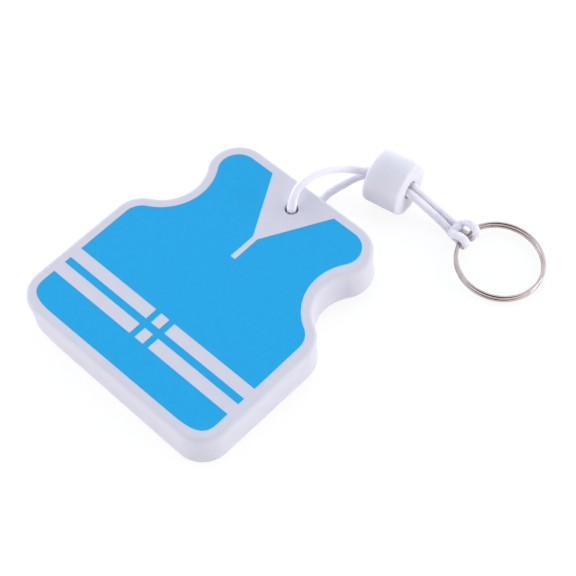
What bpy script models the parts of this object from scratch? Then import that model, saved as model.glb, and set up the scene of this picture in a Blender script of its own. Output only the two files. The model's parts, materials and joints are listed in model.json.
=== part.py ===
# Floating keychain: a printed foam life vest, a cord loop with a foam bead, and a split ring.
#
# It lies on a surface at z = 0, print face up. X runs across the vest, Y from its hem to its neck.
# All lengths are in metres. The origin is the middle of the footprint of the vest and the ring.

import math

import bmesh
import bpy
from mathutils import Matrix, Vector
from mathutils.geometry import interpolate_bezier

MM = 0.001

# Foam vest: half width, arcs of its outline and section (drops are measured down from the neck)
half_width = 34.55 * MM
vest_height = 77.2 * MM
foam_thick = 10.0 * MM
foam_edge = 1.2 * MM
hem_corner_r = 8.2 * MM
chest_r = 8.9 * MM
chest_drop = 39.0 * MM
chest_turn = 61.0
armhole_r = 12.1 * MM
shoulder_r = 8.8 * MM
hole_r = 1.8 * MM
hole_flare = 0.5 * MM
hole_drop = 8.3 * MM
hole_x = 0.6 * MM

# Print: its margins to the foam's outline, its stripes above the hem, its V and zip line below the neck
ink_thick = 0.15 * MM
print_margin = 3.1 * MM
hem_margin = 2.7 * MM
stripe_low = 11.8 * MM
stripe_height = 3.9 * MM
strip_height = 2.1 * MM
stripe_inner_x = 3.3 * MM
square_half = 1.5 * MM
neck_half = 11.2 * MM
neck_point_drop = 21.9 * MM
zip_half = 0.8 * MM
zip_end_drop = 30.5 * MM

# Cord and bead
cord_d = 2.2 * MM
strand_half_gap = 1.17 * MM
bead_r = 7.7 * MM
bead_len = 11.0 * MM
bore_clearance = 0.3 * MM
bead_edge = 0.7 * MM
bead_turn = 8.4
bead_lift = 3.5
bore_twist = 63.0

# Split ring: one wire in two turns, with a step where it climbs from the first to the second
ring_mean_r = 11.95 * MM
wire_d = 1.08 * MM
turn_gap = 0.12 * MM
step_angle = 26.0
ring_steps = 72

# Gap left between pieces that touch, and the height kept under the cord where it is pressed flat
gap = 0.3 * MM
skim = 0.03 * MM

# Where things lie on the surface, measured from the hem's middle
bead_x = 12.8 * MM
bead_y = 96.8 * MM
knot_x = 36.74 * MM
knot_y = 99.85 * MM

# Cord where it is pressed thin, how far out the knot's lobes sit, and how far they slip to one side
pressed_cord_r = 0.78 * MM
knot_cord_r = 0.58 * MM
lobe_cord_r = 0.66 * MM
bar_cord_r = 0.84 * MM
lobe_y = 2.6 * MM
knot_slip = 0.25 * MM


def smooth_run(points, radii, max_step, max_turn):
    """Points and radii read from a smooth curve through the route's points."""
    out, out_r = [points[0]], [radii[0]]
    for i in range(len(points) - 1):
        p0, p1 = points[i], points[i + 1]
        before = points[i - 1] if i else p0
        after = points[i + 2] if i + 2 < len(points) else p1
        span = (p1 - p0).length
        t0, t1 = (p1 - before).normalized(), (after - p0).normalized()
        turn = math.degrees(t0.angle(t1))
        n = max(1, math.ceil(span / max_step), math.ceil(turn / max_turn))
        run = interpolate_bezier(p0, p0 + t0 * span / 3, p1 - t1 * span / 3, p1, n + 1)
        out += run[1:]
        out_r += [radii[i] + (radii[i + 1] - radii[i]) * k / n for k in range(1, n + 1)]
    return out, out_r


def arc(cx, cy, r, a0, a1, steps):
    """Points of an arc, angles in degrees, both ends included."""
    angles = [math.radians(a0 + (a1 - a0) * k / steps) for k in range(steps + 1)]
    return [(cx + r * math.cos(a), cy + r * math.sin(a)) for a in angles]


def vest_half(inset, hem_y):
    """Right half of the vest's outline, moved in by inset, from a hem at hem_y to the neck."""
    corner_x = half_width - hem_corner_r
    chest_x, chest_y = half_width - chest_r, vest_height - chest_drop
    turn = math.radians(chest_turn)
    reach = chest_r + armhole_r
    arm_x, arm_y = chest_x + reach * math.cos(turn), chest_y + reach * math.sin(turn)
    shoulder_y = vest_height - shoulder_r
    rise = shoulder_y - arm_y
    join = armhole_r + shoulder_r
    shoulder_x = arm_x - math.sqrt(join**2 - rise**2)
    out_angle = math.degrees(math.atan2(rise, shoulder_x - arm_x))
    pts = arc(corner_x, hem_corner_r - inset + hem_y, hem_corner_r - inset, -90, 0, 8)
    pts += arc(chest_x, chest_y, chest_r - inset, 0, chest_turn, 7)
    pts += arc(arm_x, arm_y, armhole_r + inset, chest_turn + 180, out_angle, 14)[1:]
    pts += arc(shoulder_x, shoulder_y, shoulder_r - inset, out_angle - 180, 90, 11)[1:]
    return pts


def closed(half):
    """A closed outline from its right half."""
    return half + [(-x, y) for x, y in reversed(half)]


def flat_curve(name, outlines, thick, edge=0.0):
    """A flat plate from closed outlines (the first is the rim, the others are openings)."""
    curve = bpy.data.curves.new(name, "CURVE")
    curve.dimensions = "2D"
    curve.fill_mode = "BOTH"
    curve.extrude = thick / 2 - edge
    curve.bevel_depth = edge
    curve.bevel_resolution = 2
    curve.offset = -edge
    for outline in outlines:
        spline = curve.splines.new("POLY")
        spline.points.add(len(outline) - 1)
        for point, (x, y) in zip(spline.points, outline):
            point.co = (x, y, 0.0, 1.0)
        spline.use_cyclic_u = True
    return curve


def wire_curve(name, points, radius, radii=None):
    """A round wire along the points, with filled ends."""
    curve = bpy.data.curves.new(name, "CURVE")
    curve.dimensions = "3D"
    curve.bevel_depth = radius
    curve.bevel_resolution = 2
    curve.use_fill_caps = True
    spline = curve.splines.new("POLY")
    spline.points.add(len(points) - 1)
    for k, point in enumerate(points):
        spline.points[k].co = (*point, 1.0)
        spline.points[k].radius = radii[k] / radius if radii else 1.0
    return curve


def to_mesh(name, curve, where, smooth=35):
    """Turn a curve into a welded mesh object in the parts collection."""
    guide = bpy.data.objects.new(name + "_curve", curve)
    parts.objects.link(guide)
    bpy.context.view_layer.update()
    mesh = bpy.data.meshes.new_from_object(guide.evaluated_get(bpy.context.evaluated_depsgraph_get()))
    bpy.data.objects.remove(guide)
    work = bmesh.new()
    work.from_mesh(mesh)
    bmesh.ops.remove_doubles(work, verts=work.verts, dist=1e-6)
    bmesh.ops.recalc_face_normals(work, faces=work.faces)
    work.to_mesh(mesh)
    work.free()
    mesh.shade_smooth()
    mesh.set_sharp_from_angle(angle=math.radians(smooth))
    piece = bpy.data.objects.new(name, mesh)
    piece.matrix_world = where
    parts.objects.link(piece)
    return piece


def turned(name, profile, steps, collection):
    """A turned piece: a closed or axis-to-axis profile run around Z."""
    mesh = bpy.data.meshes.new(name)
    work = bmesh.new()
    verts = [work.verts.new((x, 0.0, z)) for x, z in profile]
    pairs = zip(verts, verts[1:] + verts[:1]) if profile[0][0] > 0 else zip(verts, verts[1:])
    for a, b in pairs:
        work.edges.new((a, b))
    work.to_mesh(mesh)
    work.free()
    piece = bpy.data.objects.new(name, mesh)
    collection.objects.link(piece)
    screw = piece.modifiers.new("turn", "SCREW")
    screw.steps = screw.render_steps = steps
    screw.use_merge_vertices = True
    screw.merge_threshold = 1e-5
    return piece


def paint(piece, name, colour, roughness, metallic=0.0):
    """Give a piece its own material."""
    material = bpy.data.materials.new(name)
    material.use_nodes = True
    shader = material.node_tree.nodes["Principled BSDF"]
    shader.inputs["Base Color"].default_value = (*colour, 1.0)
    shader.inputs["Roughness"].default_value = roughness
    shader.inputs["Metallic"].default_value = metallic
    piece.data.materials.clear()
    piece.data.materials.append(material)


# Clear the scene and make the collections
for old in list(bpy.data.objects):
    bpy.data.objects.remove(old)
parts = bpy.data.collections.new("floating_keychain")
cutters = bpy.data.collections.new("cutters")
for collection in (parts, cutters):
    bpy.context.scene.collection.children.link(collection)

# The cord passes under the neck, so the vest leans up by the angle that clears the pressed cord
hole_y = vest_height - hole_drop
lean = math.asin((2 * pressed_cord_r + skim + gap) / (hole_y - foam_edge))
coil_half = wire_d + turn_gap / 2
knot_height = 2 * knot_cord_r + skim + gap + coil_half
ring_lean = math.asin((knot_height - coil_half) / (2 * ring_mean_r))

# The footprint of the vest and the ring puts the origin in its middle
ring_x = knot_x + ring_mean_r * math.cos(ring_lean)
ring_reach = ring_mean_r + wire_d / 2
hem_low = -foam_thick * math.sin(lean)
origin = Vector(((ring_x + ring_reach - half_width) / 2, (knot_y + ring_reach + hem_low) / 2, 0))


def at(x, y, z):
    """A point given from the hem's middle on the surface."""
    return Vector((x, y, z)) - origin


# The vest's own frame: hem at y = 0, back face at z = 0, leaning about the hem's rounded edge
vest = bpy.data.objects.new("vest_frame", None)
parts.objects.link(vest)
settle = foam_edge * (1 - math.sin(lean) - math.cos(lean))
vest.matrix_world = Matrix.Translation(at(0, 0, settle)) @ Matrix.Rotation(lean, 4, "X")
vest_to_world = vest.matrix_world.copy()


def on_vest(x, y, z):
    """A point of the vest's own frame, in the world."""
    return vest_to_world @ Vector((x, y, z))


def placed(piece, z):
    """Hang a piece on the vest's frame, its middle plane at height z of that frame."""
    piece.parent = vest
    piece.matrix_parent_inverse = Matrix.Identity(4)
    piece.matrix_local = Matrix.Translation((0, 0, z))


# Foam vest: a plate with rounded edges
foam = to_mesh(
    "foam_float",
    flat_curve("foam_outline", [closed(vest_half(0.0, 0.0))], foam_thick, foam_edge),
    Matrix.Identity(4),
)
placed(foam, foam_thick / 2)
paint(foam, "white_foam", (0.66, 0.66, 0.79), 0.75)

# The punched hole, a little wider at both faces
half = foam_thick / 2
punch = turned(
    "hole_punch",
    [
        (0.0, half + gap),
        (hole_r + hole_flare + gap, half + gap),
        (hole_r, half - hole_flare),
        (hole_r, hole_flare - half),
        (hole_r + hole_flare + gap, -half - gap),
        (0.0, -half - gap),
    ],
    32,
    cutters,
)
punch.parent = vest
punch.matrix_parent_inverse = Matrix.Identity(4)
punch.matrix_local = Matrix.Translation((hole_x, hole_y, half))
punch.hide_render = True
punch.display_type = "WIRE"
cut = foam.modifiers.new("hole", "BOOLEAN")
cut.operation = "DIFFERENCE"
cut.solver = "EXACT"
cut.object = punch

# Printed field: one skin with the white stripes, squares, neck and zip line left open
rim = vest_half(print_margin, hem_margin)
side_x = half_width - print_margin
stripe_tops = [stripe_low + stripe_height, stripe_low + 2 * stripe_height + strip_height]
notches = []
for top in stripe_tops:
    notches += [(side_x, top - stripe_height), (stripe_inner_x, top - stripe_height)]
    notches += [(stripe_inner_x, top), (side_x, top)]
print_top = vest_height - print_margin
side_start = next(k for k, p in enumerate(rim) if p[0] > side_x - 1e-9)
rim = rim[: side_start + 1] + notches + rim[side_start + 1 :]
neck_point_y, zip_end_y = vest_height - neck_point_drop, vest_height - zip_end_drop
rim += [(neck_half, print_top), (zip_half, neck_point_y), (zip_half, zip_end_y)]
squares = []
for top in stripe_tops:
    foot = top - stripe_height
    squares.append([(-square_half, foot), (square_half, foot), (square_half, top), (-square_half, top)])
ink = to_mesh(
    "print_panels",
    flat_curve("print_outline", [closed(rim)] + squares, ink_thick),
    Matrix.Identity(4),
)
placed(ink, foam_thick + gap + ink_thick / 2)
paint(ink, "blue_print", (0.025, 0.392, 0.807), 0.5)

# Foam bead: a short turned cylinder with a wide bore
bore = strand_half_gap + cord_d / 2 + bore_clearance
rim_x, end = bead_edge * 0.3, bead_len / 2
edge = [(bead_r - bead_edge + x, end - bead_edge + y) for x, y in arc(0, 0, bead_edge, 90, 0, 4)]
profile = [(bore + rim_x, end)] + edge + [(x, -z) for x, z in reversed(edge)]
profile += [(bore + rim_x, -end), (bore, -end + rim_x * 2), (bore, end - rim_x * 2)]
bead = turned("cord_bead", profile, 40, parts)
bead_height = bead_r * math.cos(math.radians(bead_lift)) + bead_len / 2 * math.sin(math.radians(bead_lift))
bead_spin = Matrix.Rotation(math.radians(bead_turn), 4, "Z")
bead_tip = Matrix.Rotation(math.radians(90 - bead_lift), 4, "Y")
bead.matrix_world = Matrix.Translation(at(bead_x, bead_y, bead_height)) @ bead_spin @ bead_tip
bead_to_world = bead.matrix_world.copy()
paint(bead, "bead_foam", (0.66, 0.66, 0.79), 0.75)

# Split ring: the origin is on the line of the wire at the knot, where the ring swings
wire = []
first = step_angle / 2
climb = [first, 360 - first, 360 + first, 720 - first]
for k in range(2 * ring_steps + 1):
    angle = climb[0] + (climb[3] - climb[0]) * k / (2 * ring_steps)
    rise = min(max((angle - climb[1]) / step_angle, 0.0), 1.0)
    level = (0.5 - 0.5 * math.cos(math.pi * rise)) * 2 - 1
    turn = math.radians(angle + 180)
    x, y = ring_mean_r * (1 + math.cos(turn)), ring_mean_r * math.sin(turn)
    wire.append(Vector((x, y, level * (wire_d + turn_gap) / 2)))
knot = at(knot_x, knot_y, knot_height)
ring = to_mesh(
    "split_ring",
    wire_curve("ring_wire", wire, wire_d / 2),
    Matrix.Translation(knot) @ Matrix.Rotation(ring_lean, 4, "Y"),
)
paint(ring, "ring_steel", (0.62, 0.59, 0.57), 0.18, 1.0)

# Cord route. Each point has a radius: the cord is pressed thin under the foam and under the ring.
r = cord_d / 2
hole_at_face, hole_at_back = on_vest(hole_x, hole_y, foam_thick), on_vest(hole_x, hole_y, 0)
rim_r = hole_r + hole_flare
low = pressed_cord_r + skim
neck = Vector((hole_at_back.x - 1.3 * MM, on_vest(0, vest_height, 0).y, low))


def in_bead(along, side, twist=0.0):
    """Middle of one strand in the bead: along its bore, side 1 or -1, the pair twisted about it."""
    angle = math.radians(twist)
    reach = side * strand_half_gap
    return bead_to_world @ Vector((-reach * math.sin(angle), reach * math.cos(angle), along))


def near_knot(along, side, up):
    """A point measured from the ring's wire inside the knot."""
    return knot + Vector((along, side, up))


def between(start, finish, share, x, z):
    """A point part of the way from start to finish, moved by x and z millimetres."""
    return start.lerp(finish, share) + Vector((x, 0, z)) * MM


# From the middle of the bead, over the face of the foam and down into the hole
bead_end = 1.12 * end
top_in, low_in = in_bead(-bead_end, -1, -bore_twist), in_bead(-bead_end, 1, -bore_twist)
upper = [
    (in_bead(-0.2 * MM, -1, -0.3 * bore_twist), r),
    (in_bead(-0.6 * end, -1, -0.7 * bore_twist), r),
    (top_in, r),
    (between(hole_at_face, top_in, 0.916, -1.36, 0.18), r),
    (between(hole_at_face, top_in, 0.84, -2.33, 1.28), r),
    (between(hole_at_face, top_in, 0.72, -3.04, 2.96), r),
    (between(hole_at_face, top_in, 0.585, -3.27, 4.6), r),
    (between(hole_at_face, top_in, 0.443, -3.18, 5.72), r),
    (between(hole_at_face, top_in, 0.309, -2.75, 6.16), r),
    (between(hole_at_face, top_in, 0.204, -2.13, 5.99), r),
    (between(hole_at_face, top_in, 0.11, -1.41, 5.24), r),
    (between(hole_at_face, top_in, 0.04, -0.55, 3.45), r),
    (between(hole_at_face, top_in, 0.015, -0.15, 1.6), r),
    (hole_at_face, r),
]

# Under the neck of the foam, then along the surface and up into the bead
under = [
    (hole_at_back + Vector((0, 0, 3.2 * MM)), r),
    (hole_at_back + Vector((0, 0, 1.5 * MM)), r),
    (hole_at_back + Vector((0, 0.25 * MM, 0.3 * MM)), 0.95 * r),
    (Vector((hole_at_back.x, hole_at_back.y + 0.95 * MM, low + 0.35 * MM)), 0.85 * r),
    (Vector((hole_at_back.x - 0.1 * MM, hole_at_back.y + rim_r, low)), pressed_cord_r),
    (between(Vector((hole_at_back.x, hole_at_back.y, low)), neck, 0.6, 0.1, 0), pressed_cord_r),
    (neck, pressed_cord_r),
    (Vector((neck.x - 0.3 * MM, neck.y + 3.2 * MM, r + 2 * skim)), r),
    (between(neck, low_in, 0.315, -2.35, -1.6), r),
    (between(neck, low_in, 0.425, -2.94, -1.56), r),
    (between(neck, low_in, 0.532, -2.95, -1.3), r),
    (between(neck, low_in, 0.626, -2.66, -0.8), r),
    (between(neck, low_in, 0.72, -2.37, -0.3), r),
    (between(neck, low_in, 0.82, -1.95, 0.05), r),
    (between(neck, low_in, 0.912, -1.07, 0.26), r),
    (low_in, r),
    (in_bead(-0.3 * end, 1, -0.5 * bore_twist), r),
    (in_bead(0.6 * end, 1), r),
    (in_bead(bead_end, 1), r),
]

# The lark's head: under the wire, back over the top of it, and across the two strands
far_y = lobe_y + knot_slip
wire_in = ring_mean_r - math.sqrt(ring_mean_r**2 - far_y**2)
swing_reach = math.hypot(wire_in, (wire_d + turn_gap) / 2) + wire_d / 2
wrap = swing_reach + gap + lobe_cord_r
drop = knot_height - knot_cord_r - 3 * skim


def half_knot(side):
    """One half of the knot, side 1 or -1. Its lobes and crossbar sit a little to one side."""
    strand = [
        (near_knot(-10.6 * MM, side * strand_half_gap, 3.65 * MM - knot_height), r),
        (near_knot(-8.0 * MM, side * strand_half_gap, 2.95 * MM - knot_height), r),
        (near_knot(-5.6 * MM, side * 1.05 * strand_half_gap, 2.3 * MM - knot_height), r),
        (near_knot(-3.6 * MM, side * 1.1 * strand_half_gap, 1.32 * MM - knot_height), 0.9 * r),
        (near_knot(-2.1 * MM, side * 1.15 * strand_half_gap, 0.88 * MM - knot_height), 0.73 * r),
        (near_knot(-0.6 * MM, side * 0.56 * lobe_y, -drop), knot_cord_r),
        (near_knot(0.9 * MM, side * 0.64 * lobe_y - knot_slip / 2, -drop), knot_cord_r),
    ]
    lobe = [
        (0.82 * wrap, 0.7 * lobe_y, -0.58 * wrap, 0.92 * lobe_cord_r),
        (wrap, 0.84 * lobe_y, 0, lobe_cord_r),
        (0.73 * wrap, 0.94 * lobe_y, 0.69 * wrap, lobe_cord_r),
        (0.06 * wrap, 1.02 * lobe_y, wrap, lobe_cord_r),
        (-0.6 * wrap, 1.09 * lobe_y, 0.86 * wrap, 1.08 * lobe_cord_r),
        (-1.03 * wrap, 1.06 * lobe_y, 0.57 * wrap, 0.95 * bar_cord_r),
        (-1.33 * wrap, 0.84 * lobe_y, 0.36 * wrap, bar_cord_r),
        (-1.44 * wrap, 0.46 * lobe_y, 0.31 * wrap, bar_cord_r),
    ]
    return strand + [(near_knot(x, side * y - knot_slip, z), radius) for x, y, z, radius in lobe]


crossbar = (near_knot(-1.43 * wrap, -knot_slip, 0.36 * wrap), bar_cord_r)
hitch = half_knot(1) + [crossbar] + half_knot(-1)[::-1]
back = [
    (in_bead(bead_end, -1), r),
    (in_bead(0.6 * end, -1), r),
    (in_bead(0.2 * MM, -1, -0.3 * bore_twist), r),
]
route = upper + under + hitch + back
points, radii = smooth_run([p for p, _ in route], [q for _, q in route], 2.6 * cord_d, 38)
cord = to_mesh("cord_loop", wire_curve("cord_line", points, r, radii), Matrix.Identity(4), 60)
paint(cord, "white_cord", (0.85, 0.83, 0.93), 0.8)
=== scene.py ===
import json
import math

import bmesh
import bpy
import numpy as np
from mathutils import Matrix, Vector
from mathutils.geometry import interpolate_bezier


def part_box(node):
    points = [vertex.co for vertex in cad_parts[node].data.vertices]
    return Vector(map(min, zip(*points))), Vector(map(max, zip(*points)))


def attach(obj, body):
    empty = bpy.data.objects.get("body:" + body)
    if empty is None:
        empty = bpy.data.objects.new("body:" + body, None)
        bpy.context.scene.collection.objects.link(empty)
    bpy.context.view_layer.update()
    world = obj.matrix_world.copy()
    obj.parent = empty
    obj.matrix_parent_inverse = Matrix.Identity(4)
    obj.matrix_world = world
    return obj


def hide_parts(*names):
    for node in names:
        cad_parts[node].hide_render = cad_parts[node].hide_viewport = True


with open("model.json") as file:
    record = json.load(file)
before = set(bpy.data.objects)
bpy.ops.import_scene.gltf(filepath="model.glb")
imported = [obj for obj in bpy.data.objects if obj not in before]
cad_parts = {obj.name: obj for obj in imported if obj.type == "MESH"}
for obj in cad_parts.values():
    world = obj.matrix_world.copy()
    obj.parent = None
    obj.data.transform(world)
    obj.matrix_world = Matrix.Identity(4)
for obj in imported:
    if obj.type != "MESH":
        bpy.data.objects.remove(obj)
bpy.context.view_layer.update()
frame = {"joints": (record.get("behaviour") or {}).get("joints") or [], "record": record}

MM = 0.001

# Light: tones of the tent round the part, its brightness, and its opening's half angle and soft edge
tent_wall = (1.0, 0.975, 0.97)
tent_cloth = (0.51, 0.535, 0.575)
tent_top = (0.54, 0.62, 0.70)
opening_tone = (0.03, 0.024, 0.024)
opening_edge = 38.0
opening_blur = 8.0
tent_light = 2.03

# Floor: its colour, its side, and the glow that keeps it white to the camera
floor_colour = (0.94, 0.94, 0.94, 1)
floor_side = 2.0
floor_glow = 1.06
floor_glow_share = 0.8

# Camera, fitted to the photograph's lines (its picture is 576 pixels square)
camera_place = Vector((157.7, -182.6, 353.4)) * MM
camera_angles = (34.313, -1.017, 42.678)
camera_lens = 99.69
camera_sensor = 36.0

# Colours: the lighter and the darker tone of each material, and how far light passes through the bead
# The foam's and the bead's darker tone, at 0.8, also gives the painted shade in their pores
foam_tones = (0.69, 0.675, 0.755, 1), (0.67, 0.655, 0.735, 1)
ink_tones = (0.01, 0.398, 0.785, 1), (0.009, 0.378, 0.755, 1)
bead_tones = (0.735, 0.723, 0.785, 1), (0.715, 0.703, 0.765, 1)
bead_glow_through = 0.7
# The cord's second tone is painted shade, put in the grooves between its yarns
cord_and_groove_shade_tones = (0.84, 0.81, 0.895, 1), (0.65, 0.63, 0.72, 1)
steel_tones = (0.52, 0.44, 0.425, 1), (0.4, 0.335, 0.32, 1)

# Foam vest, as in the solids
half_width = 34.55 * MM
vest_height = 77.2 * MM
foam_thick = 10.0 * MM
foam_edge = 1.2 * MM
hem_corner_r = 8.2 * MM
chest_r = 8.9 * MM
chest_y = 38.2 * MM
chest_turn = 61.0
armhole_r = 12.1 * MM
shoulder_r = 8.8 * MM
hole_r = 1.8 * MM
hole_flare = 0.5 * MM
hole_drop = 8.3 * MM
hole_x = 0.6 * MM

# The cut edge: how far it slants from the face to the back, the slant's growth across the vest, the more
# worn corner at the left of the hem, and how hollow the edge is
cut_slant = (0.6 * MM, -0.45 * MM)
slant_growth = (0.013, -0.016)
worn_corner = 1.1 * MM
worn_spread = 6.0 * MM
wall_dip = 0.22 * MM

# Print, as in the solids, but lying on the foam
ink_thick = 0.03 * MM
ink_lift = 0.012 * MM
print_margin = 3.1 * MM
hem_margin = 2.7 * MM
stripe_low = 12.05 * MM
stripe_height = 3.77 * MM
strip_height = 2.15 * MM
stripe_inner_x = 3.3 * MM
square_half = 1.5 * MM
neck_half = 11.2 * MM
neck_point_y = 55.3 * MM
zip_half = 0.8 * MM
zip_end_y = 46.7 * MM

# Long corners of the print at the hem: where their curve starts, and how square it is
corner_start_x = 20.5 * MM
corner_stop_y = 9.2 * MM
corner_square = 3.2

# Cord and bead, as in the solids
cord_d = 2.2 * MM
strand_half_gap = 1.17 * MM
bead_r = 7.7 * MM
bead_len = 11.0 * MM
bead_bore_r = 2.57 * MM
bead_edge = 0.7 * MM
bead_turn = 8.4
bead_lift = 3.5
bore_twist = 63.0
pressed_cord_r = 0.78 * MM
knot_cord_r = 0.58 * MM
lobe_cord_r = 0.66 * MM
bar_cord_r = 0.84 * MM
lobe_y = 2.6 * MM
knot_slip = 0.25 * MM
gap = 0.3 * MM
skim = 0.03 * MM

# Braid: yarns each way round the cord, their pitch along it, and how far they stand out
braid_yarns = 11
braid_pitch = 0.82 * MM
braid_crown = 0.085 * MM
braid_weave = 0.045 * MM
cord_sides = 66
cord_step = 0.12 * MM

# Split ring, as in the solids
ring_mean_r = 11.95 * MM
wire_d = 1.08 * MM
turn_gap = 0.12 * MM
step_angle = 26.0

# Where things are, read from the frame
joint = frame["joints"][0]
knot = Vector(joint["pos_m"])
back_face = frame["record"]["mounts"][0]
lean = math.asin(back_face["axis"][1])
foam_low, foam_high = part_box("foam_float")
bead_low, bead_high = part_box("cord_bead")
bead_middle = (bead_low + bead_high) / 2
settle = foam_edge * (1 - math.sin(lean) - math.cos(lean))
neck_reach = (vest_height - foam_edge) * math.cos(lean) - foam_edge * math.sin(lean) + foam_edge
vest_origin = Vector(((foam_low.x + foam_high.x) / 2, foam_high.y - neck_reach, settle))
vest_to_world = Matrix.Translation(vest_origin) @ Matrix.Rotation(lean, 4, "X")
bead_spin = Matrix.Rotation(math.radians(bead_turn), 4, "Z")
bead_tip = Matrix.Rotation(math.radians(90 - bead_lift), 4, "Y")
bead_to_world = Matrix.Translation(bead_middle) @ bead_spin @ bead_tip
coil_half = wire_d + turn_gap / 2
knot_height = knot.z
ring_lean = math.asin((knot_height - coil_half) / (2 * ring_mean_r))
hole_y = vest_height - hole_drop


def link(name, mesh):
    """An object for a mesh or curve, in the scene."""
    piece = bpy.data.objects.new(name, mesh)
    bpy.context.scene.collection.objects.link(piece)
    return piece


def mesh_from(name, verts, faces, smooth_angle=None):
    """A mesh object from points and faces, smooth apart from edges sharper than smooth_angle."""
    mesh = bpy.data.meshes.new(name)
    mesh.from_pydata([tuple(v) for v in verts], [], [tuple(f) for f in faces])
    mesh.update()
    mesh.shade_smooth()
    if smooth_angle:
        mesh.set_sharp_from_angle(angle=math.radians(smooth_angle))
    return link(name, mesh)


def add_attribute(mesh, name, values):
    """Store one number or one vector for each point of a mesh."""
    values = np.asarray(values, dtype=np.float32)
    kind, field = ("FLOAT_VECTOR", "vector") if values.ndim == 2 else ("FLOAT", "value")
    mesh.attributes.new(name, kind, "POINT").data.foreach_set(field, values.ravel())


# Materials


class Nodes:
    """A material's node tree, with short calls for its nodes and links."""

    def __init__(self, name):
        self.material = bpy.data.materials.new(name)
        self.material.use_nodes = True
        self.tree = self.material.node_tree
        self.shader = self.tree.nodes["Principled BSDF"]
        self.place = self.node("ShaderNodeTexCoord").outputs["Object"]

    def node(self, kind, **inputs):
        made = self.tree.nodes.new(kind)
        for name, value in inputs.items():
            self.put(value, made.inputs[name.replace("_", " ")])
        return made

    def put(self, value, socket):
        if isinstance(value, bpy.types.NodeSocket):
            self.tree.links.new(value, socket)
        else:
            socket.default_value = value

    def noise(self, size, detail=2.0):
        made = self.node("ShaderNodeTexNoise", Vector=self.place, Scale=1 / size, Detail=detail)
        return made.outputs["Fac"]

    def noise_along(self, attribute, detail):
        """Noise in the coordinates that a mesh stores under a name."""
        place = self.attribute(attribute).outputs["Vector"]
        return self.node("ShaderNodeTexNoise", Vector=place, Scale=1.0, Detail=detail).outputs["Fac"]

    def attribute(self, name):
        made = self.tree.nodes.new("ShaderNodeAttribute")
        made.attribute_name = name
        return made

    def cells(self, size):
        made = self.node("ShaderNodeTexVoronoi", Vector=self.place, Scale=1 / size)
        return made.outputs["Distance"]

    def ramp(self, value, low, high, out_low=0.0, out_high=1.0):
        made = self.node("ShaderNodeMapRange", Value=value, From_Min=low, From_Max=high)
        made.inputs["To Min"].default_value = out_low
        made.inputs["To Max"].default_value = out_high
        return made.outputs["Result"]

    def mix(self, share, first, second):
        made = self.tree.nodes.new("ShaderNodeMix")
        made.data_type = "RGBA"
        self.put(share, made.inputs[0])
        self.put(first, made.inputs[6])
        self.put(second, made.inputs[7])
        return made.outputs[2]

    def math(self, operation, first, second=0.0):
        made = self.tree.nodes.new("ShaderNodeMath")
        made.operation = operation
        self.put(first, made.inputs[0])
        self.put(second, made.inputs[1])
        return made.outputs[0]

    def bump(self, height, depth, strength=1.0, after=None):
        made = self.node("ShaderNodeBump", Height=height, Distance=depth, Strength=strength)
        if after:
            self.put(after, made.inputs["Normal"])
        return made.outputs["Normal"]

    def finish(self, **sockets):
        for name, value in sockets.items():
            self.put(value, self.shader.inputs[name.replace("_", " ")])
        return self.material


def foam_material(name, tones, glow_through=0.0):
    """Closed-cell foam: fine cells, a soft mottle, a little painted shade in its pores, lit a little from
    within.
    """
    n = Nodes(name)
    light, dark = tones
    mottle = n.noise(3.5 * MM, 3.0)
    pores = n.ramp(n.cells(0.42 * MM), 0.0, 0.55)
    tone = n.mix(n.ramp(mottle, 0.35, 0.65), dark, light)
    # Painted shade: a little darker at the bottom of each pore
    tone = n.mix(n.ramp(pores, 0.0, 0.35, 0.1, 0.0), tone, (*[0.8 * c for c in dark[:3]], 1))
    relief = n.bump(n.noise(2.2 * MM, 2.0), 0.05 * MM, 0.5)
    relief = n.bump(pores, 0.02 * MM, 0.6, relief)
    rough = n.ramp(mottle, 0.3, 0.7, 0.68, 0.8)
    return n.finish(
        Base_Color=tone, Roughness=rough, Normal=relief, Specular_IOR_Level=0.35,
        Subsurface_Weight=glow_through, Subsurface_Radius=(1.0, 1.0, 1.0), Subsurface_Scale=3 * MM,
    )


def ink_material(name, tones):
    """Screen-printed ink that takes the foam's fine texture."""
    n = Nodes(name)
    light, dark = tones
    mottle = n.noise(1.6 * MM, 3.0)
    tone = n.mix(n.ramp(mottle, 0.35, 0.65), dark, light)
    relief = n.bump(n.noise(2.2 * MM, 2.0), 0.05 * MM, 0.4)
    relief = n.bump(n.ramp(n.cells(0.42 * MM), 0.0, 0.55), 0.012 * MM, 0.5, relief)
    rough = n.ramp(mottle, 0.3, 0.7, 0.48, 0.58)
    return n.finish(Base_Color=tone, Roughness=rough, Normal=relief, Specular_IOR_Level=0.2)


def cord_material(name, tones):
    """Braided cord: painted shade darkens the grooves between yarns, and fibres run along each yarn."""
    n = Nodes(name)
    light, painted_groove_shade = tones
    # How much painted shade falls in the grooves between the yarns, stored on the mesh
    depth = n.attribute("painted_groove_shade").outputs["Fac"]
    fibres = n.noise_along("fibre", 2.0)
    fuzz = n.noise(0.5 * MM, 3.0)
    share = n.math("ADD", depth, n.ramp(fibres, 0.35, 0.65, -0.08, 0.12))
    tone = n.mix(share, light, painted_groove_shade)
    relief = n.bump(fibres, 0.03 * MM, 0.6)
    relief = n.bump(fuzz, 0.03 * MM, 0.3, relief)
    return n.finish(
        Base_Color=tone, Roughness=n.ramp(fuzz, 0.3, 0.7, 0.75, 0.9), Normal=relief,
        Sheen_Weight=0.25, Sheen_Roughness=0.5, Specular_IOR_Level=0.3,
        Subsurface_Weight=0.7, Subsurface_Radius=(1.0, 1.0, 1.0), Subsurface_Scale=2 * MM,
    )


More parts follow.
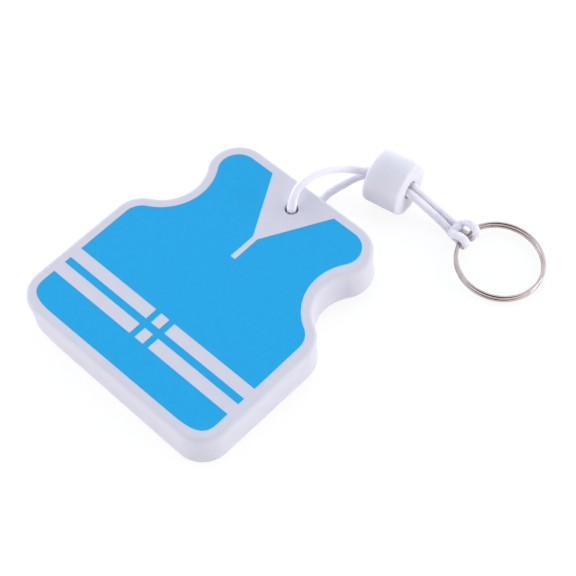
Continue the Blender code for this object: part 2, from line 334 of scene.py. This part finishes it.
def steel_material(name, tones):
    """Nickel-plated wire: faint drawing lines along the wire and a few duller patches."""
    n = Nodes(name)
    colour, worn = tones
    lines = n.noise_along("drawn", 3.0)
    patches = n.noise(2.5 * MM, 3.0)
    tone = n.mix(n.ramp(patches, 0.45, 0.75), colour, worn)
    rough = n.math("ADD", n.ramp(lines, 0.3, 0.7, 0.12, 0.2), n.ramp(patches, 0.5, 0.8, 0.0, 0.06))
    relief = n.bump(lines, 0.004 * MM, 0.5)
    return n.finish(Base_Color=tone, Roughness=rough, Metallic=1.0, Normal=relief)


def floor_material(name, colour, share, glow):
    """White floor: it takes shadows, and a share of glow in the camera's and mirror rays keeps it white."""
    n = Nodes(name)
    tree = n.tree
    rays = tree.nodes.new("ShaderNodeLightPath")
    seen = n.math("MAXIMUM", rays.outputs["Is Camera Ray"], rays.outputs["Is Glossy Ray"])
    seen = n.math("MAXIMUM", seen, rays.outputs["Is Transmission Ray"])
    lamp = tree.nodes.new("ShaderNodeEmission")
    lamp.inputs["Color"].default_value = (1, 1, 1, 1)
    lamp.inputs["Strength"].default_value = glow
    blend = tree.nodes.new("ShaderNodeMixShader")
    tree.links.new(n.math("MULTIPLY", seen, share), blend.inputs[0])
    tree.links.new(n.shader.outputs[0], blend.inputs[1])
    tree.links.new(lamp.outputs[0], blend.inputs[2])
    tree.links.new(blend.outputs[0], tree.nodes["Material Output"].inputs["Surface"])
    return n.finish(Base_Color=colour, Roughness=0.9, Specular_IOR_Level=0.0)


# Camera
camera = link("camera", bpy.data.cameras.new("camera"))
camera.location = camera_place
camera.rotation_euler = [math.radians(a) for a in camera_angles]
camera.data.lens = camera_lens
camera.data.sensor_width = camera_sensor
camera.data.clip_start = 0.01
bpy.context.scene.camera = camera

# Cord route, with the same points as the solids. The cord is a little fuller where it bunches in the hole.
cord_r = cord_d / 2
bead_half = bead_len / 2
hole_at_face = vest_to_world @ Vector((hole_x, hole_y, foam_thick))
hole_at_back = vest_to_world @ Vector((hole_x, hole_y, 0))
rim_r = hole_r + hole_flare
low = pressed_cord_r + skim
neck = Vector((hole_at_back.x - 1.3 * MM, (vest_to_world @ Vector((0, vest_height, 0))).y, low))


def in_bead(along, side, twist=0.0):
    """Middle of one strand in the bead: along its bore, side 1 or -1, the pair twisted about it."""
    angle = math.radians(twist)
    reach = side * strand_half_gap
    return bead_to_world @ Vector((-reach * math.sin(angle), reach * math.cos(angle), along))


def near_knot(along, side, up):
    """A point measured from the ring's wire inside the knot."""
    return knot + Vector((along, side, up))


def between(start, finish, share, x, z):
    """A point part of the way from start to finish, moved by x and z millimetres."""
    return start.lerp(finish, share) + Vector((x, 0, z)) * MM


# From the middle of the bead, over the face of the foam and down into the hole
bead_end = 1.12 * bead_half
top_in, low_in = in_bead(-bead_end, -1, -bore_twist), in_bead(-bead_end, 1, -bore_twist)
upper = [
    (in_bead(-0.2 * MM, -1, -0.3 * bore_twist), cord_r),
    (in_bead(-0.6 * bead_half, -1, -0.7 * bore_twist), cord_r),
    (top_in, cord_r),
    (between(hole_at_face, top_in, 0.916, -1.36, 0.18), cord_r),
    (between(hole_at_face, top_in, 0.84, -2.33, 1.28), cord_r),
    (between(hole_at_face, top_in, 0.72, -3.04, 2.96), cord_r),
    (between(hole_at_face, top_in, 0.585, -3.27, 4.6), cord_r),
    (between(hole_at_face, top_in, 0.443, -3.18, 5.72), cord_r),
    (between(hole_at_face, top_in, 0.309, -2.75, 6.16), cord_r),
    (between(hole_at_face, top_in, 0.204, -2.13, 5.99), cord_r),
    (between(hole_at_face, top_in, 0.11, -1.41, 5.24), cord_r),
    (between(hole_at_face, top_in, 0.04, -0.55, 3.45), 1.03 * cord_r),
    (between(hole_at_face, top_in, 0.015, -0.15, 1.6), 1.1 * cord_r),
    (hole_at_face, 1.14 * cord_r),
]

# Under the neck of the foam, then along the surface and up into the bead
under = [
    (hole_at_back + Vector((0, 0, 3.2 * MM)), 1.05 * cord_r),
    (hole_at_back + Vector((0, 0, 1.5 * MM)), cord_r),
    (hole_at_back + Vector((0, 0.25 * MM, 0.3 * MM)), 0.95 * cord_r),
    (Vector((hole_at_back.x, hole_at_back.y + 0.95 * MM, low + 0.35 * MM)), 0.85 * cord_r),
    (Vector((hole_at_back.x - 0.1 * MM, hole_at_back.y + rim_r, low)), pressed_cord_r),
    (between(Vector((hole_at_back.x, hole_at_back.y, low)), neck, 0.6, 0.1, 0), pressed_cord_r),
    (neck, pressed_cord_r),
    (Vector((neck.x - 0.3 * MM, neck.y + 3.2 * MM, cord_r + 2 * skim)), cord_r),
    (between(neck, low_in, 0.315, -2.35, -1.6), cord_r),
    (between(neck, low_in, 0.425, -2.94, -1.56), cord_r),
    (between(neck, low_in, 0.532, -2.95, -1.3), cord_r),
    (between(neck, low_in, 0.626, -2.66, -0.8), cord_r),
    (between(neck, low_in, 0.72, -2.37, -0.3), cord_r),
    (between(neck, low_in, 0.82, -1.95, 0.05), cord_r),
    (between(neck, low_in, 0.912, -1.07, 0.26), cord_r),
    (low_in, cord_r),
    (in_bead(-0.3 * bead_half, 1, -0.5 * bore_twist), cord_r),
    (in_bead(0.6 * bead_half, 1), cord_r),
    (in_bead(bead_end, 1), cord_r),
]

# The lark's head: under the wire, back over the top of it, and across the two strands
far_y = lobe_y + knot_slip
wire_in = ring_mean_r - math.sqrt(ring_mean_r**2 - far_y**2)
swing_reach = math.hypot(wire_in, (wire_d + turn_gap) / 2) + wire_d / 2
wrap = swing_reach + gap + lobe_cord_r
drop = knot_height - knot_cord_r - 3 * skim


def half_knot(side):
    """One half of the knot, side 1 or -1. Its lobes and crossbar sit a little to one side."""
    strand = [
        (near_knot(-10.6 * MM, side * strand_half_gap, 3.65 * MM - knot_height), cord_r),
        (near_knot(-8.0 * MM, side * strand_half_gap, 2.95 * MM - knot_height), cord_r),
        (near_knot(-5.6 * MM, side * 1.05 * strand_half_gap, 2.3 * MM - knot_height), cord_r),
        (near_knot(-3.6 * MM, side * 1.1 * strand_half_gap, 1.32 * MM - knot_height), 0.9 * cord_r),
        (near_knot(-2.1 * MM, side * 1.15 * strand_half_gap, 0.88 * MM - knot_height), 0.73 * cord_r),
        (near_knot(-0.6 * MM, side * 0.56 * lobe_y, -drop), knot_cord_r),
        (near_knot(0.9 * MM, side * 0.64 * lobe_y - knot_slip / 2, -drop), knot_cord_r),
    ]
    lobe = [
        (0.82 * wrap, 0.7 * lobe_y, -0.58 * wrap, 0.92 * lobe_cord_r),
        (wrap, 0.84 * lobe_y, 0, lobe_cord_r),
        (0.73 * wrap, 0.94 * lobe_y, 0.69 * wrap, lobe_cord_r),
        (0.06 * wrap, 1.02 * lobe_y, wrap, lobe_cord_r),
        (-0.6 * wrap, 1.09 * lobe_y, 0.86 * wrap, 1.08 * lobe_cord_r),
        (-1.03 * wrap, 1.06 * lobe_y, 0.57 * wrap, 0.95 * bar_cord_r),
        (-1.33 * wrap, 0.84 * lobe_y, 0.36 * wrap, bar_cord_r),
        (-1.44 * wrap, 0.46 * lobe_y, 0.31 * wrap, bar_cord_r),
    ]
    return strand + [(near_knot(x, side * y - knot_slip, z), radius) for x, y, z, radius in lobe]


crossbar = (near_knot(-1.43 * wrap, -knot_slip, 0.36 * wrap), bar_cord_r)
hitch = half_knot(1) + [crossbar] + half_knot(-1)[::-1]
back = [
    (in_bead(bead_end, -1), cord_r),
    (in_bead(0.6 * bead_half, -1), cord_r),
    (in_bead(0.2 * MM, -1, -0.3 * bore_twist), cord_r),
]
route = upper + under + hitch + back


def fine_route(stops, step):
    """Points and radii at even steps along the smooth curve through the route's points."""
    points, radii = [stops[0][0]], [stops[0][1]]
    pieces = 24
    for i in range(len(stops) - 1):
        p0, p1 = stops[i][0], stops[i + 1][0]
        before = stops[max(i - 1, 0)][0]
        after = stops[min(i + 2, len(stops) - 1)][0]
        span = (p1 - p0).length
        t0, t1 = (p1 - before).normalized(), (after - p0).normalized()
        points += interpolate_bezier(p0, p0 + t0 * span / 3, p1 - t1 * span / 3, p1, pieces + 1)[1:]
        for k in range(1, pieces + 1):
            share = k / pieces
            share = share * share * (3 - 2 * share)
            radii.append(stops[i][1] + (stops[i + 1][1] - stops[i][1]) * share)
    points = np.array([tuple(p) for p in points])
    travel = np.concatenate([[0.0], np.cumsum(np.linalg.norm(np.diff(points, axis=0), axis=1))])
    count = int(round(travel[-1] / step)) + 1
    stations = np.linspace(0, travel[-1], count)
    even = np.stack([np.interp(stations, travel, points[:, k]) for k in range(3)], axis=1)
    return even, np.interp(stations, travel, radii), travel[-1]


def moving_frames(points):
    """Tangents and one steady sideways direction at each point of a line."""
    tangents = np.gradient(points, axis=0)
    tangents /= np.linalg.norm(tangents, axis=1)[:, None]
    sides = np.zeros_like(points)
    start = np.cross(tangents[0], (0.0, 0.0, 1.0))
    sides[0] = start / np.linalg.norm(start)
    for k in range(1, len(points)):
        side = sides[k - 1] - tangents[k] * sides[k - 1].dot(tangents[k])
        sides[k] = side / np.linalg.norm(side)
    return tangents, sides


def tube_faces(rows, sides):
    """Quads of a tube of rows x sides points, and its two caps."""
    grid = np.arange(rows * sides).reshape(rows, sides)
    near, far = grid[:-1], grid[1:]
    quads = np.stack([near, np.roll(near, -1, 1), np.roll(far, -1, 1), far], axis=2).reshape(-1, 4)
    return quads.tolist() + [grid[0][::-1].tolist(), grid[-1].tolist()]


def braid_relief(around, along):
    """Height of the woven yarns, and each point's place across and along its yarn, the two ways set apart."""
    first = braid_yarns * around / (2 * math.pi) + along / braid_pitch
    second = braid_yarns * around / (2 * math.pi) - along / braid_pitch
    lift_first = np.cos(np.pi * np.floor(first)) * np.sin(np.pi * second)
    lift_second = -np.cos(np.pi * np.floor(second)) * np.sin(np.pi * first)
    crown_first = np.sqrt(np.maximum(0.0, 1 - (2 * (first % 1) - 1) ** 2))
    crown_second = np.sqrt(np.maximum(0.0, 1 - (2 * (second % 1) - 1) ** 2))
    high_first = braid_crown * crown_first + braid_weave * lift_first
    high_second = braid_crown * crown_second + braid_weave * lift_second
    on_top = high_first >= high_second
    height = np.where(on_top, high_first, high_second)
    across = np.where(on_top, first, second)
    apart = 50.0
    lengthwise = np.where(on_top, second, first + apart)
    return height, across, lengthwise


# Cord: one closed tube with the braid in its surface, flat where it is pressed on the surface it lies on
path, path_r, cord_length = fine_route(route, cord_step)
tangents, side_dirs = moving_frames(path)
up_dirs = np.cross(tangents, side_dirs)
rows = len(path)
around = np.arange(cord_sides) * 2 * math.pi / cord_sides
along = np.linspace(0, cord_length, rows)
theta, station = np.meshgrid(around, along)
relief, across, lengthwise = braid_relief(theta, station)

# Where the cord is pressed thin it spreads sideways: round the wire in the lobes, level elsewhere
from_wire = path - np.array(knot)
from_wire[:, 1] = 0
from_wire /= np.linalg.norm(from_wire, axis=1)[:, None]
upright = np.array([0.0, 0.0, 1.0]) * np.where(from_wire[:, 2] < 0, -1, 1)[:, None]
near_wire = np.linalg.norm(path - np.array(knot), axis=1) < 1.6 * lobe_y
share = np.where(near_wire, 1 - tangents[:, 1] ** 2, 0)[:, None]
thin_dirs = from_wire * share + upright * (1 - share)
thin_dirs -= tangents * np.sum(thin_dirs * tangents, axis=1)[:, None]
thin_dirs /= np.maximum(np.linalg.norm(thin_dirs, axis=1), 1e-9)[:, None]
wide_dirs = np.cross(tangents, thin_dirs)
press = np.clip(1 - path_r / cord_r, 0, 0.5)
wide_r = np.maximum(path_r, cord_r * (1 + 0.55 * press))
direction = (
    np.cos(theta)[:, :, None] * side_dirs[:, None, :]
    + np.sin(theta)[:, :, None] * up_dirs[:, None, :]
)
on_thin = np.sum(direction * thin_dirs[:, None, :], axis=2)
on_wide = np.sum(direction * wide_dirs[:, None, :], axis=2)
sink = 0.6 * (braid_crown + braid_weave)
half_thin = (path_r - sink)[:, None] + relief * (path_r / cord_r)[:, None]
half_wide = (wide_r - sink)[:, None] + relief * (path_r / cord_r)[:, None]
surface = (
    path[:, None, :]
    + (on_thin * half_thin)[:, :, None] * thin_dirs[:, None, :]
    + (on_wide * half_wide)[:, :, None] * wide_dirs[:, None, :]
)
surface[:, :, 2] = np.maximum(surface[:, :, 2], skim)
cord = mesh_from("braided_cord", surface.reshape(-1, 3), tube_faces(rows, cord_sides))
deepest = braid_crown + braid_weave
# Painted shade: the deeper a point lies between the yarns, the darker its colour
painted_groove_shade = np.clip(1 - relief / deepest, 0, 1).ravel() ** 1.5
fine_across, fine_along = 9.0, 0.9
fibre = np.stack([across * fine_across, lengthwise * fine_along, np.zeros_like(across)], axis=2)
add_attribute(cord.data, "painted_groove_shade", painted_groove_shade)
add_attribute(cord.data, "fibre", fibre.reshape(-1, 3))
cord.data.materials.append(cord_material("braided_white", cord_and_groove_shade_tones))

# Foam vest


def quarter(steps):
    """Angles of a quarter turn in radians, both ends included."""
    return [math.radians(90 * k / steps) for k in range(steps + 1)]


def arc(cx, cy, radius, a0, a1, steps):
    """Points of an arc, angles in degrees, both ends included."""
    angles = [math.radians(a0 + (a1 - a0) * k / steps) for k in range(steps + 1)]
    return [(cx + radius * math.cos(a), cy + radius * math.sin(a)) for a in angles]


def line(x0, y0, x1, y1, steps):
    """Points inside a straight run, its ends left out."""
    return [(x0 + (x1 - x0) * k / steps, y0 + (y1 - y0) * k / steps) for k in range(1, steps)]


def vest_half(inset, hem_y):
    """Right half of the vest's outline, moved in by inset, from a hem at hem_y to the neck."""
    corner_x = half_width - hem_corner_r
    chest_x = half_width - chest_r
    turn = math.radians(chest_turn)
    reach = chest_r + armhole_r
    arm_x, arm_y = chest_x + reach * math.cos(turn), chest_y + reach * math.sin(turn)
    shoulder_y = vest_height - shoulder_r
    rise = shoulder_y - arm_y
    shoulder_x = arm_x - math.sqrt((armhole_r + shoulder_r) ** 2 - rise**2)
    out_angle = math.degrees(math.atan2(rise, shoulder_x - arm_x))
    corner_y = hem_corner_r - inset + hem_y
    pts = arc(corner_x, corner_y, hem_corner_r - inset, -90, 0, 24)
    pts += line(half_width - inset, corner_y, half_width - inset, chest_y, 20)
    pts += arc(chest_x, chest_y, chest_r - inset, 0, chest_turn, 18)
    pts += arc(arm_x, arm_y, armhole_r + inset, chest_turn + 180, out_angle, 40)[1:]
    pts += arc(shoulder_x, shoulder_y, shoulder_r - inset, out_angle - 180, 90, 30)[1:]
    return pts


def closed(half):
    """A closed outline from its right half, with points along the neck and the hem."""
    (x0, y0), (x1, y1) = half[0], half[-1]
    neck_run = line(x1, y1, -x1, y1, 30)
    hem_run = line(-x0, y0, x0, y0, 40)
    return half + neck_run + [(-x, y) for x, y in reversed(half)] + hem_run


def foam_rows():
    """Section of the foam from the middle of its back to its face: inset and height."""
    e, t = foam_edge, foam_thick
    rows = [(4 * e, 0.0), (2.5 * e, 0.0), (1.4 * e, 0.0)]
    rows += [(e - e * math.sin(a), e - e * math.cos(a)) for a in quarter(8)]
    rows += [(wall_dip * math.sin(math.pi * k / 8) ** 2, e + (t - 2 * e) * k / 8) for k in range(1, 8)]
    rows += [(e - e * math.cos(a), t - e + e * math.sin(a)) for a in quarter(8)]
    return rows + [(1.4 * e, t), (2.5 * e, t), (4 * e, t)]


def slanted(x, y, z):
    """A point of the outline, moved as the slanting cut moves it at the height z."""
    share = 1 - z / foam_thick
    worn = worn_corner * math.exp(-((x + half_width) ** 2 + y**2) / (2 * worn_spread**2))
    along_x = cut_slant[0] + slant_growth[0] * y + worn
    along_y = cut_slant[1] + slant_growth[1] * x + worn
    return x + share * along_x, y + share * along_y, z


levels = [[slanted(x, y, z) for x, y in closed(vest_half(inset, inset))] for inset, z in foam_rows()]
foam_points = [point for level in levels for point in level]
foam = mesh_from("foam_vest", foam_points, tube_faces(len(levels), len(levels[0])), 40)

# The hole: punched a little wider at both faces
flare = [
    (hole_r + hole_flare * (1 - math.sin(a)), foam_thick - hole_flare * (1 - math.cos(a)))
    for a in quarter(6)
]
past_face = 1 * MM
profile = [(0.0, foam_thick + past_face), (rim_r, foam_thick + past_face)]
profile += flare + [(x, foam_thick - z) for x, z in reversed(flare)]
profile += [(rim_r, -past_face), (0.0, -past_face)]


def turned(name, profile, steps):
    """A turned piece: a profile run around Z."""
    mesh = bpy.data.meshes.new(name)
    work = bmesh.new()
    verts = [work.verts.new((x, 0.0, z)) for x, z in profile]
    pairs = zip(verts, verts[1:] + verts[:1]) if profile[0][0] > 0 else zip(verts, verts[1:])
    for a, b in pairs:
        work.edges.new((a, b))
    bmesh.ops.spin(
        work, geom=work.verts[:] + work.edges[:], cent=(0, 0, 0), axis=(0, 0, 1), angle=2 * math.pi,
        steps=steps, use_duplicate=False,
    )
    bmesh.ops.remove_doubles(work, verts=work.verts, dist=1e-6)
    bmesh.ops.recalc_face_normals(work, faces=work.faces)
    work.to_mesh(mesh)
    work.free()
    mesh.shade_smooth()
    mesh.set_sharp_from_angle(angle=math.radians(40))
    return link(name, mesh)


punch = turned("hole_punch", profile, 48)
punch.matrix_world = Matrix.Translation((hole_x, hole_y, 0))
cut = foam.modifiers.new("hole", "BOOLEAN")
cut.solver = "EXACT"
cut.operation = "DIFFERENCE"
cut.object = punch


def worked_out(piece):
    """The mesh of a piece after its modifiers, or of a curve after its fill and thickness."""
    bpy.context.view_layer.update()
    return bpy.data.meshes.new_from_object(piece.evaluated_get(bpy.context.evaluated_depsgraph_get()))


foam_mesh = worked_out(foam)
foam.modifiers.clear()
foam.data = foam_mesh
bpy.data.objects.remove(punch)
foam.data.transform(vest_to_world)
foam.data.materials.clear()
foam.data.materials.append(foam_material("foam_white", foam_tones))


def hem_corner(side_x, steps):
    """The print's corner from the hem to the side at side_x: a rounded square's quarter."""
    reach_x, reach_y = side_x - corner_start_x, corner_stop_y - hem_margin
    power = 2 / corner_square
    return [
        (corner_start_x + reach_x * math.sin(a) ** power, corner_stop_y - reach_y * math.cos(a) ** power)
        for a in quarter(steps)
    ]


# Print: one skin of ink with the stripes, squares, neck and zip line left open
side_x = half_width - print_margin
stripe_tops = [stripe_low + stripe_height, stripe_low + 2 * stripe_height + strip_height]
notches = []
for top in stripe_tops:
    notches += [(side_x, top - stripe_height), (stripe_inner_x, top - stripe_height)]
    notches += [(stripe_inner_x, top), (side_x, top)]
chest_up = [(x, y) for x, y in vest_half(print_margin, hem_margin) if y > chest_y - skim]
rim = hem_corner(side_x, 28) + notches + chest_up
rim += [(neck_half, vest_height - print_margin), (zip_half, neck_point_y), (zip_half, zip_end_y)]
squares = []
for top in stripe_tops:
    foot = top - stripe_height
    squares.append([(-square_half, foot), (square_half, foot), (square_half, top), (-square_half, top)])
outline = bpy.data.curves.new("ink_outline", "CURVE")
outline.dimensions = "2D"
outline.fill_mode = "BOTH"
outline.extrude = ink_thick / 2
for loop in [rim + [(-x, y) for x, y in reversed(rim)]] + squares:
    spline = outline.splines.new("POLY")
    spline.points.add(len(loop) - 1)
    for point, (x, y) in zip(spline.points, loop):
        point.co = (x, y, 0.0, 1.0)
    spline.use_cyclic_u = True
stencil = link("ink_outline", outline)
ink = link("vest_print", worked_out(stencil))
bpy.data.objects.remove(stencil)
ink.data.transform(vest_to_world @ Matrix.Translation((0, 0, foam_thick + ink_lift + ink_thick / 2)))
ink.data.materials.clear()
ink.data.materials.append(ink_material("ink_blue", ink_tones))

# Bead: a slice of foam rod, its bore a little wider at the ends
bore_round = 0.35 * MM
edge = [
    (bead_r - bead_edge * (1 - math.sin(a)), bead_half - bead_edge * (1 - math.cos(a)))
    for a in quarter(8)
]
lip = [
    (bead_bore_r + bore_round * (1 - math.sin(a)), bead_half - bore_round * (1 - math.cos(a)))
    for a in quarter(8)
]
flat_end = [(bead_bore_r + 2.4 * MM, bead_half), (bead_r - 1.6 * bead_edge, bead_half)]
top_half = lip[::-1] + flat_end + edge
bead_profile = top_half + [(x, -z) for x, z in reversed(top_half)]
bead = turned("foam_bead", bead_profile, 120)
bead.data.transform(bead_to_world)
bead.data.materials.append(foam_material("foam_bead", bead_tones, bead_glow_through))

# Split ring: one wire in two turns, with cut ends
wire_sides, wire_rows = 20, 420
half_step = step_angle / 2
angles = np.linspace(half_step, 720 - half_step, wire_rows)
rise = np.clip((angles - (360 - half_step)) / step_angle, 0, 1)
level = -np.cos(math.pi * rise)
turns = np.radians(angles + 180)
wire_line = np.stack(
    [
        ring_mean_r * (1 + np.cos(turns)),
        ring_mean_r * np.sin(turns),
        level * (wire_d + turn_gap) / 2,
    ],
    axis=1,
)
inward = np.stack([-np.cos(turns), -np.sin(turns), np.zeros_like(turns)], axis=1)
wire_around = np.arange(wire_sides) * 2 * math.pi / wire_sides
from_end = np.minimum(angles - angles[0], angles[-1] - angles) * math.radians(1) * ring_mean_r
end_round = 0.3 * MM
taper = np.sqrt(np.clip(1 - np.clip(1 - from_end / end_round, 0, 1) ** 2 * 0.35, 0, 1))
wire_r = wire_d / 2 * taper
ring_surface = (
    wire_line[:, None, :]
    + (wire_r[:, None] * np.cos(wire_around))[:, :, None] * inward[:, None, :]
    + (wire_r[:, None] * np.sin(wire_around))[:, :, None] * np.array([0.0, 0.0, 1.0])
)
ring = mesh_from("key_ring", ring_surface.reshape(-1, 3), tube_faces(wire_rows, wire_sides), 50)
ring.data.flip_normals()
lines_along, lines_across = 6.0, 22.0
drawn = np.stack(
    [
        np.repeat(np.radians(angles) * lines_along, wire_sides),
        np.tile(np.cos(wire_around) * lines_across, wire_rows),
        np.tile(np.sin(wire_around) * lines_across, wire_rows),
    ],
    axis=1,
)
add_attribute(ring.data, "drawn", drawn)
ring.data.transform(Matrix.Translation(knot) @ Matrix.Rotation(ring_lean, 4, "Y"))
ring.data.materials.append(steel_material("nickel_steel", steel_tones))

# Floor, light and white surroundings
corners = [(-1, -1), (1, -1), (1, 1), (-1, 1)]
floor = mesh_from("floor", [(x * floor_side / 2, y * floor_side / 2, 0) for x, y in corners], [(0, 1, 2, 3)])
floor.data.materials.append(floor_material("white_floor", floor_colour, floor_glow_share, floor_glow))

# Light tent: bright low walls, cooler cloth overhead, and the dark side from which the camera looks in
world = bpy.data.worlds.new("studio")
bpy.context.scene.world = world
world.use_nodes = True
sky_nodes, sky_links = world.node_tree.nodes, world.node_tree.links
sky = sky_nodes["Background"]
sky.inputs["Strength"].default_value = tent_light
sky_place = sky_nodes.new("ShaderNodeTexCoord").outputs["Generated"]
sky_split = sky_nodes.new("ShaderNodeSeparateXYZ")
sky_tones = sky_nodes.new("ShaderNodeValToRGB")
sky_tones.color_ramp.elements[0].position, sky_tones.color_ramp.elements[0].color = 0.25, (*tent_wall, 1)
sky_tones.color_ramp.elements[1].position, sky_tones.color_ramp.elements[1].color = 0.95, (*tent_top, 1)
sky_tones.color_ramp.elements.new(0.5).color = (*tent_cloth, 1)
to_camera = sky_nodes.new("ShaderNodeVectorMath")
to_camera.operation = "DOT_PRODUCT"
to_camera.inputs[1].default_value = camera_place.normalized()
opening = sky_nodes.new("ShaderNodeMapRange")
opening.inputs["From Min"].default_value = math.cos(math.radians(opening_edge + opening_blur))
opening.inputs["From Max"].default_value = math.cos(math.radians(opening_edge - opening_blur))
sky_mix = sky_nodes.new("ShaderNodeMix")
sky_mix.data_type = "RGBA"
sky_mix.inputs[7].default_value = (*opening_tone, 1)
sky_links.new(sky_place, sky_split.inputs[0])
sky_links.new(sky_place, to_camera.inputs[0])
sky_links.new(sky_split.outputs["Z"], sky_tones.inputs["Fac"])
sky_links.new(to_camera.outputs["Value"], opening.inputs["Value"])
sky_links.new(opening.outputs["Result"], sky_mix.inputs[0])
sky_links.new(sky_tones.outputs["Color"], sky_mix.inputs[6])
sky_links.new(sky_mix.outputs[2], sky.inputs["Color"])


def soft_lamp(name, place, size, power, tone=(1.0, 1.0, 1.0)):
    """A square lamp that faces the middle of the part."""
    lamp = link(name, bpy.data.lights.new(name, "AREA"))
    lamp.data.color = tone
    lamp.data.size = size
    lamp.data.energy = power
    lamp.location = place
    lamp.rotation_euler = (-Vector(place)).to_track_quat("-Z", "Y").to_euler()


soft_lamp("back_lamp", (0.25, 0.55, 0.5), 0.5, 0.1)
soft_lamp("low_left_lamp", (-0.55, -0.4, 0.13), 0.25, 0.75, (1.0, 0.96, 0.9))
soft_lamp("low_right_lamp", (0.47, 0.36, 0.13), 0.25, 0.65, (1.0, 0.95, 0.88))
bpy.context.scene.view_settings.view_transform = "Standard"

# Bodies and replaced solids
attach(foam, "float")
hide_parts("foam_float")
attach(ink, "float")
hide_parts("print_panels")
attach(bead, "float")
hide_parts("cord_bead")
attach(cord, "float")
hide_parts("cord_loop")
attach(ring, "ring")
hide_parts("split_ring")
